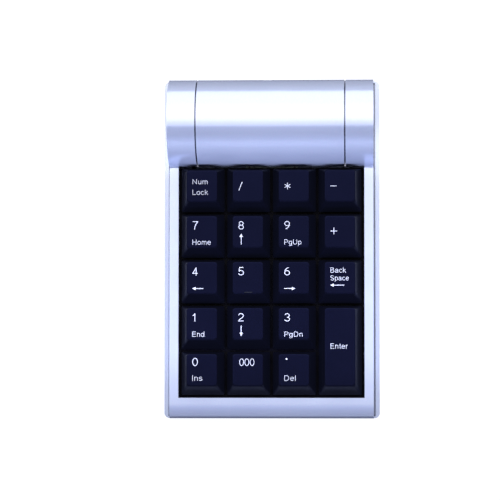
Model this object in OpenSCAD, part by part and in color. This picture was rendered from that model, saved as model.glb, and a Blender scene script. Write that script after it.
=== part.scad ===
// Cordless numeric keypad: nineteen dished keys in front of a half-round battery barrel.
// Frame: +X right, +Y towards the barrel, +Z up. Origin: middle of the footprint, on the plane of the feet.

/* [Case] */
// Height of the flat deck round the keys
deck_z = 13.5; // [13.2:0.1:14]
// Width of the deck beside the key bay, including the ledge of the tray
side_margin = 6.3; // [6.1:0.1:7]
// Length of the case in front of the key bay
front_margin = 8.55; // [8.55:0.05:9.5]
// Width of the ledge that the tray leaves at each side
ledge_w = 2.5; // [2.2:0.1:2.6]
// Height of the ledge
ledge_z = 7; // [6.8:0.1:7.2]
// Wall thickness of the case
wall = 1.8; // [1.6:0.1:1.8]

/* [Barrel] */
// Radius of the barrel
barrel_r = 18; // [18:0.1:18.6]
// Height of the barrel's axis
barrel_z = 12; // [12:0.1:12.4]
// Width of the battery door
door_w = 62; // [61.6:0.1:62.4]
// Gap between the door and the case at each side
door_gap = 0.55; // [0.1:0.05:0.6]

/* [Keys] */
// Distance between neighbouring keys
pitch = 19.05; // [19:0.01:19.2]
// Width of a keycap's skirt
cap_w = 18.1; // [17.8:0.05:18.2]
// Width of a keycap's top
cap_top_w = 12.6; // [12.2:0.1:13]
// Height of a keycap
cap_h = 8; // [7.8:0.1:8.2]
// Depth of the dish in a keycap's top
dish_depth = 0.6; // [0.4:0.05:0.7]
// How far a key travels
key_travel = 3; // [2.6:0.1:3]

/* [Hidden] */
$fn = 64;
COLUMNS = 4;
ROWS = 5;

// Plan of the case
bay_gap = 1.2;
bay_w = COLUMNS * pitch + bay_gap;
bay_l = ROWS * pitch + bay_gap;
case_w = bay_w + 2 * side_margin;
case_l = front_margin + bay_l + 2 * barrel_r;
upper_w = case_w - 2 * ledge_w;
front_y = -case_l / 2;
rear_y = case_l / 2;
bay_front_y = front_y + front_margin;
bay_rear_y = bay_front_y + bay_l;
bay_y = (bay_front_y + bay_rear_y) / 2;
barrel_y = rear_y - barrel_r;
corner_r = 2.2;
crown_r = 19;
crown_start = 2.4;
nose_r = 2.6;
groove_w = 0.75;
groove_depth = 1.4;
tray_boss_r = 3.4;
foot_fillet_r = 1;

// Heights, from the table up
base_z = 1.2;
floor_z = 3;
plate_rest_z = 3.8;
membrane_z = 4.6;
film_t = 0.12;
dome_z = membrane_z + 3 * film_t;
dome_sheet_t = 0.6;
dome_h = 3.94;
guide_z = 6;
guide_top_z = 7.4;
rim_top_z = 9.4;
skirt_z = 9.5;
beam_top_z = 12.3;
nest_z = 4.6;
clamp_low_z = 5.46;
cap_z = 11;
stem_z = dome_z + dome_h + 0.04;

// Keys and their guides
cap_l = cap_w;
cap_rear_slope = 1;
cap_front_slope = 3.9;
cap_wall = 1.3;
cap_roof = 2;
dish_r = 33;
stem_r = 2.8;
guide_r = 2.9;
rib_w = 1;
rib_reach = 3.55;
rib_h = 3.1;
slot_w = 1.2;
slot_reach = 3.7;
chimney_r = 5.8;
chimney_mid_z = 9.6;
chimney_top_r = 4.2;
chimney_top_z = cap_z + cap_h - cap_roof - key_travel - 0.8;
dome_room_r = 5;
dome_room_z = 9.2;

// Stabiliser under the double key
wire_r = 0.6;
wire_arm = 9;
wire_rest = 10;
wire_half_l = 12.3;
wire_bar_x = 6.9;
wire_bend_r = 1.2;
wire_pivot_z = 9.2;
wire_tip = 2.3;
clip_y = 9;
clip_w = 2.4;
enter_y = key_y(3.5);
enter_x = key_x(3);
pivot_x = enter_x + wire_bar_x - wire_arm * cos(wire_rest);

// Battery well and cells
well_half_w = 27.9;
well_half_l = 15;
well_floor_z = 8.9;
well_bottom_z = 7.5;
well_top_z = 20;
well_wall = 1.5;
lip_r = 16.1;
end_wall_r = 17.1;
end_wall_t = 1.6;
cell_r = 7.2;
cell_l = 49.2;
cell_nub_r = 2.75;
cell_nub_l = 1.3;
cell_z = 16.3;
cell_dy = 7.45;
contact_t = 0.4;
contact_x = well_half_w - 0.05 - contact_t;
contact_low_z = 9.6;
contact_top_z = 20.6;
contact_pip_r = 2.2;
leg_slot_w = 3.6;

// Tabs and notch of the battery door
TABS = [-15, 15];
tab_w = 6;
tab_t = 0.9;
tab_window_t = 1.7;
tab_y = lip_r + 0.02 - tab_t;
tab_low_z = 10.6;
tab_high_z = 17.6;
door_rear_z = 10.5;
notch_x = -1.5;

// Controller board
board_w = 56;
board_front_y = 38;
board_l = 28.5;
board_z = 3.4;
board_top_z = membrane_z;
clamp_y = 40.8;
switch_y = 57;
switch_x = 20;
switch_travel = 2.5;

// Screws: [x, y] of each
CASE_SCREWS = [
    for (x = [-30, 30]) [x, front_y + 5],
    for (x = [-37, 37], y = [44, 61]) [x, y]
];
MODULE_SCREWS = [
    for (x = [-1, 1], row = [0.5, 3.5]) [x * pitch, key_y(row)],
    for (row = [1.5, 2.5]) [0, key_y(row)]
];
BOARD_SCREWS = [for (x = [-25, 25]) [x, 63]];
CLAMP_SCREWS = [for (x = [-15.4, 15.4]) [x, clamp_y]];
FEET = [
    ["foot_front_left", -1, -1], ["foot_front_right", 1, -1],
    ["foot_rear_left", -1, 1], ["foot_rear_right", 1, 1]
];
foot_r = 4.5;
foot_x = 37;
foot_front_y = -57;
foot_rear_y = 52.5;

// Every key: [node, column, row, rows that it spans]. Row 0 is beside the barrel.
KEYS = [
    ["key_num_lock", 0, 0, 1], ["key_divide", 1, 0, 1], ["key_multiply", 2, 0, 1], ["key_minus", 3, 0, 1],
    ["key_7", 0, 1, 1], ["key_8", 1, 1, 1], ["key_9", 2, 1, 1], ["key_plus", 3, 1, 1],
    ["key_4", 0, 2, 1], ["key_5", 1, 2, 1], ["key_6", 2, 2, 1], ["key_backspace", 3, 2, 1],
    ["key_1", 0, 3, 1], ["key_2", 1, 3, 1], ["key_3", 2, 3, 1], ["key_enter", 3, 3.5, 2],
    ["key_0", 0, 4, 1], ["key_000", 1, 4, 1], ["key_decimal", 2, 4, 1]
];

function key_x(column) = (column - (COLUMNS - 1) / 2) * pitch;
function key_y(row) = bay_y + ((ROWS - 1) / 2 - row) * pitch;

// ---------------------------------------------------------------- helpers

// Extrudes a shape drawn in Y and Z along X, centred on X = 0.
module along_x(w) {
    rotate([90, 0, 90]) linear_extrude(w, center = true) children();
}

// Extrudes a shape drawn in X and Z along Y, centred on Y = 0.
module along_y(l) {
    rotate([90, 0, 0]) linear_extrude(l, center = true) children();
}

// A box given by its lowest and highest corners.
module block(low, high) {
    translate(low) cube(high - low);
}

// A cylinder that stands between two heights.
module post(r, low, high) {
    translate([0, 0, low]) cylinder(r = r, h = high - low);
}

// A cylinder along X, centred on the origin.
module rod_x(r, l) {
    rotate([0, 90, 0]) cylinder(r = r, h = l, center = true);
}

// A cylinder along Y, centred on the origin.
module rod_y(r, l) {
    rotate([90, 0, 0]) cylinder(r = r, h = l, center = true);
}

module at(points) {
    for (p = points) translate([p[0], p[1], 0]) children();
}

module rounded_plan(w, l, r) {
    square([w - 2 * r, l], center = true);
    square([w, l - 2 * r], center = true);
    for (x = [-1, 1], y = [-1, 1]) translate([x * (w / 2 - r), y * (l / 2 - r)]) circle(r);
}

// ---------------------------------------------------------------- case

// Side view of the upper case above height low, drawn in Y and Z, drawn in by inset. In front of the keys the
// deck falls away on the crown's large radius to the nose's small one.
module side_profile(inset, low) {
    top = deck_z - inset;
    front = front_y + inset;
    crown_y = bay_front_y - crown_start;
    crown_z = deck_z - crown_r;
    nose_y = front_y + nose_r;
    nose_z = crown_z + sqrt(pow(crown_r - nose_r, 2) - pow(nose_y - crown_y, 2));
    meet_y = crown_y + (nose_y - crown_y) * (crown_r - inset) / (crown_r - nose_r);
    barrel = barrel_r - inset;
    fillet = foot_fillet_r + inset;
    fillet_z = top + fillet;
    fillet_y = barrel_y - sqrt(pow(barrel + fillet, 2) - pow(fillet_z - barrel_z, 2));
    touch = barrel / (barrel + fillet);
    difference() {
        union() {
            translate([front, low]) square([crown_y - front, nose_z - low]);
            translate([nose_y, nose_z]) circle(nose_r - inset);
            intersection() {
                translate([crown_y, crown_z]) circle(crown_r - inset);
                translate([meet_y, low]) square([crown_y + 0.1 - meet_y, top - low]);
            }
            translate([crown_y, low]) square([barrel_y - crown_y, top - low]);
            translate([barrel_y, barrel_z]) circle(barrel);
            translate([barrel_y - barrel, low]) square([2 * barrel, barrel_z - low]);
            polygon([
                [fillet_y, top],
                [fillet_y, top - 1],
                [barrel_y, top - 1],
                [barrel_y + (fillet_y - barrel_y) * touch, barrel_z + (fillet_z - barrel_z) * touch],
                [fillet_y, fillet_z - 0.9 * fillet]
            ]);
        }
        translate([fillet_y, fillet_z]) circle(fillet);
        translate([front, low - 3 * barrel]) square([case_l, 3 * barrel]);
    }
}

// Outline inside the barrel that the battery well keeps to, so that the door clears it.
module well_profile() {
    intersection() {
        union() {
            translate([barrel_y, barrel_z]) circle(lip_r);
            translate([barrel_y - lip_r, well_bottom_z]) square([2 * lip_r, barrel_z - well_bottom_z]);
        }
        translate([barrel_y - barrel_r, well_bottom_z]) square([2 * barrel_r, well_top_z - well_bottom_z]);
    }
}

module battery_well() {
    difference() {
        along_x(2 * (well_half_w + well_wall)) well_profile();
        block([-well_half_w, barrel_y - well_half_l, well_floor_z],
              [well_half_w, barrel_y + well_half_l, well_top_z + 1]);
        // Windows for the door's tabs
        for (x = TABS, side = [-1, 1])
            translate([x, barrel_y + side * (tab_y + 0.35), tab_high_z - 3])
                cube([tab_w + 0.6, tab_window_t, 9], center = true);
        // Slots for the legs of the two right-hand contacts
        for (y = [-cell_dy, cell_dy])
            block([contact_x - 0.2, barrel_y + y - leg_slot_w / 2, well_bottom_z - 1],
                  [well_half_w, barrel_y + y + leg_slot_w / 2, well_floor_z + 1]);
    }
}

// Walls between the open middle of the barrel and its closed ends, with the lip under the door's sides.
module barrel_walls() {
    for (side = [-1, 1]) {
        translate([side * (door_w - end_wall_t) / 2, barrel_y, barrel_z]) rod_x(lip_r, end_wall_t + 0.1);
        translate([side * (door_w + end_wall_t) / 2, barrel_y, barrel_z]) rod_x(end_wall_r, end_wall_t);
    }
}

module case_bosses() {
    front = [for (p = CASE_SCREWS) if (p[1] < 0) p];
    rear = [for (p = CASE_SCREWS) if (p[1] > 0) p];
    at(front) post(2.8, 6.2, deck_z - wall + 0.2);
    at(rear) post(2.8, 6.2, 10.5);
    // Shelves that join the rear bosses to the barrel's ends
    for (side = [-1, 1])
        translate([side * (door_w / 2 + upper_w / 2) / 2, barrel_y, 11.1])
            cube([upper_w / 2 - door_w / 2 - wall + 0.6, 2 * (barrel_r - wall) + 0.6, 1.4], center = true);
}

module top_case() {
    inner_w = upper_w - 2 * wall;
    skirt_t = 1.2;
    color("silver") difference() {
        union() {
            difference() {
                along_x(upper_w) side_profile(0, ledge_z);
                along_x(inner_w) side_profile(wall, ledge_z - 1);
            }
            // Edge that nests inside the tray
            difference() {
                block([-upper_w / 2, front_y + wall + 0.1, nest_z],
                      [upper_w / 2, rear_y - wall - 0.1, ledge_z + 1]);
                block([-inner_w / 2, front_y + 2 * wall - 0.4, nest_z - 1],
                      [inner_w / 2, rear_y - 2 * wall + 0.4, ledge_z + 2]);
            }
            // Skirt round the key bay, and the beam across its rear
            difference() {
                block([-bay_w / 2 - skirt_t, bay_front_y - skirt_t, skirt_z],
                      [bay_w / 2 + skirt_t, bay_rear_y + 0.5, deck_z - wall + 0.3]);
                block([-bay_w / 2, bay_front_y, skirt_z - 1], [bay_w / 2, bay_rear_y + 1, deck_z]);
            }
            block([-inner_w / 2 - 0.3, bay_rear_y, 9], [inner_w / 2 + 0.3, bay_rear_y + wall, beam_top_z]);
            intersection() {
                barrel_walls();
                block([-upper_w / 2, bay_rear_y + 0.2, well_bottom_z], [upper_w / 2, rear_y, 2 * barrel_r]);
            }
            battery_well();
            case_bosses();
        }
        block([-bay_w / 2, bay_front_y, 0], [bay_w / 2, bay_rear_y, deck_z + 2]);
        door_opening();
        at(CASE_SCREWS) post(1.5, 4, 10);
        // Room for the tray's own bosses
        at(CASE_SCREWS) post(tray_boss_r + 0.2, 4, 6.1);
    }
}

// Space that the battery door fills: the barrel's skin between the seams.
module door_opening() {
    difference() {
        union() {
            block([-door_w / 2, bay_rear_y - 1, beam_top_z],
                  [door_w / 2, barrel_y + 1, barrel_z + barrel_r + 1]);
            block([-door_w / 2, barrel_y, door_rear_z], [door_w / 2, rear_y + 1, barrel_z + barrel_r + 1]);
        }
        translate([0, barrel_y, barrel_z]) rod_x(lip_r + 0.05, door_w + 2);
    }
}

// Ring cut from the barrel's skin, with its lower edges at the beam in front and above the tray behind.
module door_arc(outer, inner, w) {
    intersection() {
        along_x(w) difference() {
            translate([barrel_y, barrel_z]) circle(outer);
            translate([barrel_y, barrel_z]) circle(inner);
        }
        union() {
            block([-w, bay_rear_y - 1, beam_top_z + 0.1], [w, barrel_y + 1, 2 * barrel_r]);
            block([-w, barrel_y, door_rear_z + 0.1], [w, rear_y + 1, 2 * barrel_r]);
        }
    }
}

module battery_door() {
    skin_in = lip_r + 0.15;
    color("silver") difference() {
        union() {
            door_arc(barrel_r, skin_in, door_w - 2 * door_gap);
            // Stiffening ribs above the cells
            intersection() {
                for (x = [-18, 0, 18]) translate([x, 0, 0]) door_arc(skin_in + 0.2, skin_in - 0.9, 1.2);
                block([-door_w, barrel_y - 10, barrel_z], [door_w, barrel_y + 10, 2 * barrel_r]);
            }
            // Tabs that reach down inside the beam in front and the case behind
            for (x = TABS, side = [-1, 1])
                translate([x, barrel_y + side * (tab_y + tab_t / 2), (tab_low_z + tab_high_z) / 2])
                    cube([tab_w, tab_t, tab_high_z - tab_low_z], center = true);
        }
        // Notch in the rear edge that a thumbnail frees the door with
        translate([notch_x, 0, 0]) block([-2, rear_y - 0.9, 10], [2, rear_y + 1, 15.5]);
    }
}

module bottom_case() {
    inner_w = upper_w + 0.2;
    color("silver") difference() {
        union() {
            difference() {
                translate([0, 0, base_z]) linear_extrude(ledge_z - base_z)
                    rounded_plan(case_w, case_l, corner_r);
                block([-inner_w / 2, front_y + wall, floor_z], [inner_w / 2, rear_y - wall, ledge_z + 1]);
                // Shadow groove between the ledges and the sides of the upper case
                for (side = [0, 1]) mirror([side, 0, 0])
                    block([upper_w / 2 - 0.3, front_y + 0.8, ledge_z - groove_depth],
                          [upper_w / 2 + groove_w, rear_y - 0.8, ledge_z + 1]);
            }
            at(CASE_SCREWS) post(tray_boss_r, floor_z - 0.5, 6);
            // Ribs under the backing plate
            for (row = [-0.25, 1, 2, 3, 4.25])
                translate([0, key_y(row), (floor_z + plate_rest_z) / 2 - 0.25])
                    cube([3.8 * pitch, 1.2, plate_rest_z - floor_z + 0.5], center = true);
            at(concat(BOARD_SCREWS, CLAMP_SCREWS)) post(2.2, floor_z - 0.5, board_z);
        }
        at(CASE_SCREWS) {
            post(1.7, 0, 7);
            post(3, 0, 3.4);
        }
        at(concat(BOARD_SCREWS, CLAMP_SCREWS)) post(0.9, 2, 5);
        for (f = FEET) translate(foot_place(f)) post(foot_r + 0.1, 0, base_z + 0.8);
        // Shallow recess for a label
        translate([0, -18, 0]) linear_extrude(base_z + 0.3) rounded_plan(46, 28, 2);
        // Finger pocket and slot of the power switch
        translate([-switch_x, switch_y, 0]) {
            block([-5, -2.5, 0], [5, 2.5, 2.2]);
            block([-2.7, -1, 0], [2.7, 1, 4]);
        }
        // Bore and flange seat of the connect button
        translate([switch_x, switch_y, 0]) {
            post(2, 0, 4);
            post(2.9, 2.5, 4);
        }
    }
}

function foot_place(f) = [f[1] * foot_x, f[2] < 0 ? foot_front_y : foot_rear_y, 0];

module foot(f) {
    color("dimgray") translate(foot_place(f)) union() {
        post(foot_r, 0.4, base_z + 0.8);
        post(foot_r - 0.4, 0, 0.5);
    }
}

// ---------------------------------------------------------------- keys

// Solid with a keycap's slopes: base width and length, top width, height, rear slope and front slope.
module cap_block(w, l, top_w, h, rear_slope, front_slope) {
    intersection() {
        along_y(l + 2) polygon([[-w / 2, 0], [w / 2, 0], [top_w / 2, h], [-top_w / 2, h]]);
        along_x(w + 2) polygon([[-l / 2, 0], [l / 2, 0], [l / 2 - rear_slope, h], [-l / 2 + front_slope, h]]);
    }
}

module stem() {
    post(stem_r, stem_z, cap_z + cap_h - cap_roof + 0.6);
    block([-rib_reach, -rib_w / 2, stem_z], [rib_reach, rib_w / 2, stem_z + rib_h]);
}

// Clips under the double key that hold the long bar of the wire.
module wire_clips() {
    // The bar drifts outwards as its arms level, so the hole is set a little beyond it
    clip_hole_x = wire_bar_x + 0.07;
    bar_z = wire_pivot_z + wire_arm * sin(wire_rest);
    for (side = [-1, 1]) difference() {
        block([wire_bar_x - 1.35, side * clip_y - clip_w / 2, bar_z - 0.9],
              [wire_bar_x + 1.25, side * clip_y + clip_w / 2, cap_z + 1.6]);
        translate([clip_hole_x, side * clip_y, bar_z]) rod_y(wire_r + 0.2, clip_w + 1);
        block([clip_hole_x - 0.5, side * clip_y - clip_w, bar_z - 2],
              [clip_hole_x + 0.5, side * clip_y + clip_w, bar_z]);
    }
}

module keycap(k) {
    l = cap_l + (k[3] - 1) * pitch;
    color([0.09, 0.09, 0.11]) translate([key_x(k[1]), key_y(k[2]), 0]) {
        difference() {
            translate([0, 0, cap_z]) cap_block(cap_w, l, cap_top_w, cap_h, cap_rear_slope, cap_front_slope);
            translate([0, 0, cap_z - 0.01])
                cap_block(cap_w - 2 * cap_wall, l - 2 * cap_wall, cap_top_w - 2 * cap_wall + 0.8,
                          cap_h - cap_roof, cap_rear_slope, cap_front_slope);
            translate([0, 0, cap_z + cap_h + dish_r - dish_depth]) rod_y(dish_r, l + 2);
        }
        stem();
        if (k[3] > 1) wire_clips();
        if (k[0] == "key_5") homing_bar();
    }
}

// Raised bar that a finger finds the middle key by.
module homing_bar() {
    translate([0.2, -4.6, cap_z + cap_h - dish_depth]) {
        block([-1.5, -0.3, -0.4], [1.5, 0.3, 0.4]);
        for (side = [-1, 1]) translate([side * 1.5, 0, -0.4]) cylinder(r = 0.3, h = 0.8);
    }
}

module key_positions() {
    for (k = KEYS) translate([key_x(k[1]), key_y(k[2]), 0]) children();
}

module guide_plate() {
    plate_w = bay_w + 3;
    plate_front_y = bay_front_y - 0.4;
    plate_rear_y = bay_rear_y - 0.5;
    rim_t = 1.2;
    color([0.07, 0.07, 0.08]) difference() {
        union() {
            difference() {
                block([-plate_w / 2, plate_front_y, guide_z], [plate_w / 2, plate_rear_y, rim_top_z]);
                block([-plate_w / 2 + rim_t, plate_front_y + rim_t / 3, guide_top_z],
                      [plate_w / 2 - rim_t, plate_rear_y - rim_t / 3, rim_top_z + 1]);
            }
            key_positions() {
                post(chimney_r, guide_z + 0.5, chimney_mid_z);
                post(chimney_top_r, chimney_mid_z - 0.5, chimney_top_z);
            }
            at(MODULE_SCREWS) post(2.4, membrane_z, guide_z + 0.5);
            wire_brackets();
        }
        key_positions() {
            post(dome_room_r, 0, dome_room_z);
            post(guide_r, 0, chimney_top_z + 1);
            block([-slot_reach, -slot_w / 2, guide_z], [slot_reach, slot_w / 2, stem_z + rib_h + 0.1]);
        }
        at(MODULE_SCREWS) post(1, 0, 7);
        wire_windows();
    }
}

// Windows that the wire's bar, its bends and the key's clips dip into at the bottom of the stroke.
module wire_windows() {
    end_y = wire_half_l + 1;
    far_x = wire_bar_x + 1.4;
    translate([enter_x, enter_y, 0]) {
        block([chimney_r + 0.2, -end_y, guide_z - 1], [far_x, end_y, guide_top_z + 0.5]);
        for (side = [-1, 1])
            translate([(far_x + wire_bar_x - 1.9) / 2, side * (end_y + clip_y - 1.6) / 2, guide_z])
                cube([far_x - wire_bar_x + 1.9, end_y - clip_y + 1.6, 4], center = true);
    }
}

// Posts on the guide plate that the ends of the wire turn in.
module wire_brackets() {
    for (side = [-1, 1]) translate([pivot_x, enter_y + side * (wire_half_l + 1.7), 0]) difference() {
        block([-1.5, -0.7, guide_top_z - 0.5], [1.5, 0.7, wire_pivot_z + 1.4]);
        translate([0, 0, wire_pivot_z]) rod_y(wire_r + 0.05, 4);
    }
}

// Bent wire: a long bar held by the double key, two arms, and outward tips that turn in the brackets.
module enter_stabiliser() {
    color("gainsboro") translate([pivot_x, enter_y, wire_pivot_z]) rotate([0, -wire_rest, 0]) {
        straight = wire_half_l - wire_bend_r;
        translate([wire_arm, 0, 0]) rod_y(wire_r, 2 * straight);
        for (side = [-1, 1]) mirror([0, side < 0 ? 1 : 0, 0]) {
            translate([wire_arm - wire_bend_r, straight, 0])
                rotate_extrude(angle = 90) translate([wire_bend_r, 0]) circle(wire_r);
            translate([wire_arm / 2, wire_half_l, 0]) rod_x(wire_r, wire_arm - 2 * wire_bend_r);
            translate([wire_bend_r, wire_half_l + wire_bend_r, 0]) rotate([0, 0, 180])
                rotate_extrude(angle = 90) translate([wire_bend_r, 0]) circle(wire_r);
            translate([0, wire_half_l + (wire_tip + wire_bend_r) / 2, 0])
                rod_y(wire_r, wire_tip - wire_bend_r);
        }
    }
}

// ---------------------------------------------------------------- membrane stack

sheet_w = bay_w - 0.4;
sheet_front_y = bay_front_y;
sheet_rear_y = bay_rear_y - 0.7;

module dome() {
    rotate_extrude() polygon([
        [4.6, 0.3], [4.6, 0.7], [2.7, 3.2], [2.7, dome_h], [0, dome_h],
        [0, 3.1], [2.1, 3.1], [2.1, 2.8], [4, 0.3]
    ]);
}

module dome_sheet() {
    color("gray") difference() {
        union() {
            difference() {
                block([-sheet_w / 2, sheet_front_y, dome_z],
                      [sheet_w / 2, sheet_rear_y, dome_z + dome_sheet_t]);
                key_positions() post(4.2, 0, dome_z + 5);
            }
            key_positions() translate([0, 0, dome_z]) dome();
        }
        at(MODULE_SCREWS) post(2.7, 0, 9);
    }
}

// One film of the key switch, with its tail running back on to the board.
module film(low, contact_holes) {
    tail_w = 22;
    difference() {
        union() {
            block([-sheet_w / 2, sheet_front_y, low], [sheet_w / 2, sheet_rear_y, low + film_t]);
            block([-tail_w / 2, sheet_rear_y - 1, low], [tail_w / 2, clamp_y + 2, low + film_t]);
        }
        at(MODULE_SCREWS) post(2.6, 0, 9);
        if (contact_holes) key_positions() post(2.5, 0, 9);
    }
}

module membrane_bottom() {
    color([0.75, 0.85, 0.8, 0.9]) film(membrane_z, false);
}

module membrane_spacer() {
    color([0.85, 0.88, 0.85, 0.9]) film(membrane_z + film_t, true);
}

module membrane_top() {
    color([0.75, 0.85, 0.8, 0.9]) film(membrane_z + 2 * film_t, false);
}

module backing_plate() {
    color("lightgray") difference() {
        block([-sheet_w / 2, sheet_front_y, plate_rest_z], [sheet_w / 2, sheet_rear_y, membrane_z]);
        at(MODULE_SCREWS) post(1.2, 0, 9);
    }
}

// ---------------------------------------------------------------- electronics

module controller_board() {
    color("darkgreen") difference() {
        block([-board_w / 2, board_front_y, board_z], [board_w / 2, board_front_y + board_l, board_top_z]);
        at(concat(BOARD_SCREWS, CLAMP_SCREWS)) post(1.05, 0, 9);
        translate([-switch_x, switch_y, 0]) block([-2.7, -1.1, 0], [2.7, 1.1, 9]);
        translate([switch_x, switch_y, 0]) post(1.2, 0, 9);
    }
}

// Flat chip with a row of legs along each long side.
module control_chip() {
    leg_pitch = 1.27;
    legs = 8;
    color([0.12, 0.12, 0.13]) translate([0, 54, board_top_z]) {
        block([-5.3, -2, 0.2], [5.3, 2, 2]);
        for (i = [0:legs - 1], side = [-1, 1])
            translate([(i - (legs - 1) / 2) * leg_pitch, side * 2.4, 0.35])
                cube([0.42, 1.4, 0.7], center = true);
    }
}

module crystal() {
    color("silver") translate([-9.5, 62, board_top_z]) {
        rounded_can(10, 4, 2.4);
        linear_extrude(0.5) rounded_plan(11, 4.8, 2.3);
    }
}

module rounded_can(w, l, h) {
    linear_extrude(h) rounded_plan(w, l, l / 2 - 0.05);
}

module capacitors() {
    color([0.2, 0.25, 0.45]) for (x = [5, 11.5]) translate([x, 62, board_top_z]) {
        post(2, 0, 2.5);
        block([-2.1, -2.1, 0], [2.1, 2.1, 0.6]);
    }
}

module clamp_bar() {
    color([0.15, 0.15, 0.16]) difference() {
        block([-17.4, clamp_y - 2, clamp_low_z], [17.4, clamp_y + 2, clamp_low_z + 1.14]);
        at(CLAMP_SCREWS) post(1.05, 0, 9);
    }
}

module clamp_pad() {
    color("dimgray") block([-12, clamp_y - 1.6, dome_z], [12, clamp_y + 1.6, clamp_low_z]);
}

// ---------------------------------------------------------------- batteries

// AA cell lying along X, its positive end towards +X, centred on its can.
module cell() {
    rotate([0, 90, 0]) {
        cylinder(r = cell_r, h = cell_l, center = true);
        translate([0, 0, cell_l / 2 - 0.2]) cylinder(r = cell_nub_r, h = cell_nub_l + 0.2);
    }
}

cell_offset = well_half_w - 1 - cell_nub_l - cell_l / 2;

module battery_front() {
    color("darkorange") translate([cell_offset, barrel_y - cell_dy, cell_z]) cell();
}

module battery_rear() {
    color("darkorange") translate([-cell_offset, barrel_y + cell_dy, cell_z]) rotate([0, 0, 180]) cell();
}

// Conical spring that stands on X = 0 and ends at X = reach, as a tube swept round a helix.
module contact_spring(reach) {
    wire = 0.35;
    turns = 3;
    steps = 14;
    sides = 6;
    n = turns * steps;
    function ring_r(i) = 5 - 2.4 * i / n;
    points = [
        for (i = [0:n], s = [0:sides - 1])
            let (a = 360 * i / steps, b = 360 * s / sides, r = ring_r(i) + wire * cos(b))
                [wire + (reach - 2 * wire) * i / n + wire * sin(b), r * cos(a), r * sin(a)]
    ];
    tube = [
        for (i = [0:n - 1], s = [0:sides - 1])
            let (t = (s + 1) % sides)
                [i * sides + s, i * sides + t, (i + 1) * sides + t, (i + 1) * sides + s]
    ];
    caps = [[for (s = [sides - 1:-1:0]) s], [for (s = [0:sides - 1]) n * sides + s]];
    polyhedron(points, concat(tube, caps));
}

module link_contact() {
    color("gainsboro") {
        block([-contact_x - contact_t, barrel_y - 13, contact_low_z],
              [-contact_x, barrel_y + 13, contact_top_z]);
        translate([-contact_x + 0.15, barrel_y + cell_dy, cell_z]) rod_x(contact_pip_r, 0.5);
        translate([-contact_x, barrel_y - cell_dy, cell_z]) contact_spring(spring_reach);
    }
}

spring_reach = contact_x - (cell_l / 2 - cell_offset) - 0.05;

// Plate with a leg that reaches down through the well's floor to the board.
module contact_plate(y) {
    block([contact_x, barrel_y + y - 6, contact_low_z],
          [contact_x + contact_t, barrel_y + y + 6, contact_top_z]);
    block([contact_x, barrel_y + y - 1.4, board_top_z],
          [contact_x + contact_t, barrel_y + y + 1.4, contact_low_z + 0.4]);
}

module positive_contact() {
    color("gainsboro") {
        contact_plate(-cell_dy);
        translate([contact_x - 0.15, barrel_y - cell_dy, cell_z]) rod_x(contact_pip_r, 0.5);
    }
}

module negative_contact() {
    color("gainsboro") {
        contact_plate(cell_dy);
        translate([contact_x, barrel_y + cell_dy, cell_z]) rotate([0, 0, 180]) contact_spring(spring_reach);
    }
}

// ---------------------------------------------------------------- switches

module power_switch_body() {
    color([0.2, 0.2, 0.22]) translate([-switch_x, switch_y, 0]) difference() {
        block([-4.5, -2.2, board_top_z], [4.5, 2.2, 7.2]);
        block([-2.6, -0.95, board_top_z - 1], [2.6, 0.95, 6]);
    }
}

module power_switch_knob() {
    color("black") translate([-switch_x - switch_travel / 2, switch_y, 0]) {
        block([-2.3, -2.1, 1.3], [2.3, 2.1, 2.1]);
        block([-1, -0.8, 2], [1, 0.8, 5.7]);
        for (x = [-1.4, 0, 1.4]) block([x - 0.3, -2.1, 1], [x + 0.3, 2.1, 1.4]);
    }
}

module connect_switch() {
    color([0.2, 0.2, 0.22]) translate([switch_x, switch_y, 0]) difference() {
        block([-2.6, -2.6, board_top_z], [2.6, 2.6, 6.4]);
        post(1.2, 0, 5.3);
    }
}

module connect_button() {
    color("black") translate([switch_x, switch_y, 0]) {
        post(1.9, 1.5, 2.7);
        post(2.6, 2.52, 2.95);
        post(0.9, 2.8, 4.5);
    }
}

// ---------------------------------------------------------------- fasteners

// Pan-head screw with a cross recess, its head at low and its tip at high. It is driven from below.
module screw(head_r, head_h, shank_r, low, high) {
    difference() {
        union() {
            post(head_r, low, low + head_h);
            post(shank_r, low + head_h - 0.1, high - shank_r);
            translate([0, 0, high - shank_r - 0.05]) cylinder(r1 = shank_r, r2 = 0.2, h = shank_r + 0.05);
        }
        for (a = [0, 90]) rotate([0, 0, a])
            translate([0, 0, low]) cube([head_r * 1.3, head_r * 0.28, head_h * 1.2], center = true);
    }
}

module case_screws() {
    color("dimgray") at(CASE_SCREWS) screw(2.7, 1.4, 1.4, 2, 9.6);
}

module module_screws() {
    color("dimgray") at(MODULE_SCREWS) screw(2, 0.7, 0.95, plate_rest_z - 0.7, 6.9);
}

module board_screws() {
    color("dimgray") at(BOARD_SCREWS) mirror([0, 0, 1]) screw(1.8, 0.9, 0.8, -board_top_z - 0.9, -2.2);
}

module clamp_screws() {
    color("dimgray") at(CLAMP_SCREWS) mirror([0, 0, 1]) screw(1.8, 0.8, 0.8, -7.4, -2.2);
}

// ---------------------------------------------------------------- nodes

bottom_case();
top_case();
battery_door();
guide_plate();
dome_sheet();
membrane_top();
membrane_spacer();
membrane_bottom();
backing_plate();
enter_stabiliser();
controller_board();
control_chip();
crystal();
capacitors();
clamp_bar();
clamp_pad();
battery_front();
battery_rear();
link_contact();
negative_contact();
positive_contact();
power_switch_body();
power_switch_knob();
connect_switch();
connect_button();
case_screws();
module_screws();
board_screws();
clamp_screws();
for (f = FEET) foot(f);
for (k = KEYS) keycap(k);
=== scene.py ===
import math

import bmesh
import bpy
from mathutils import Matrix, Vector
from mathutils.geometry import delaunay_2d_cdt


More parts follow.
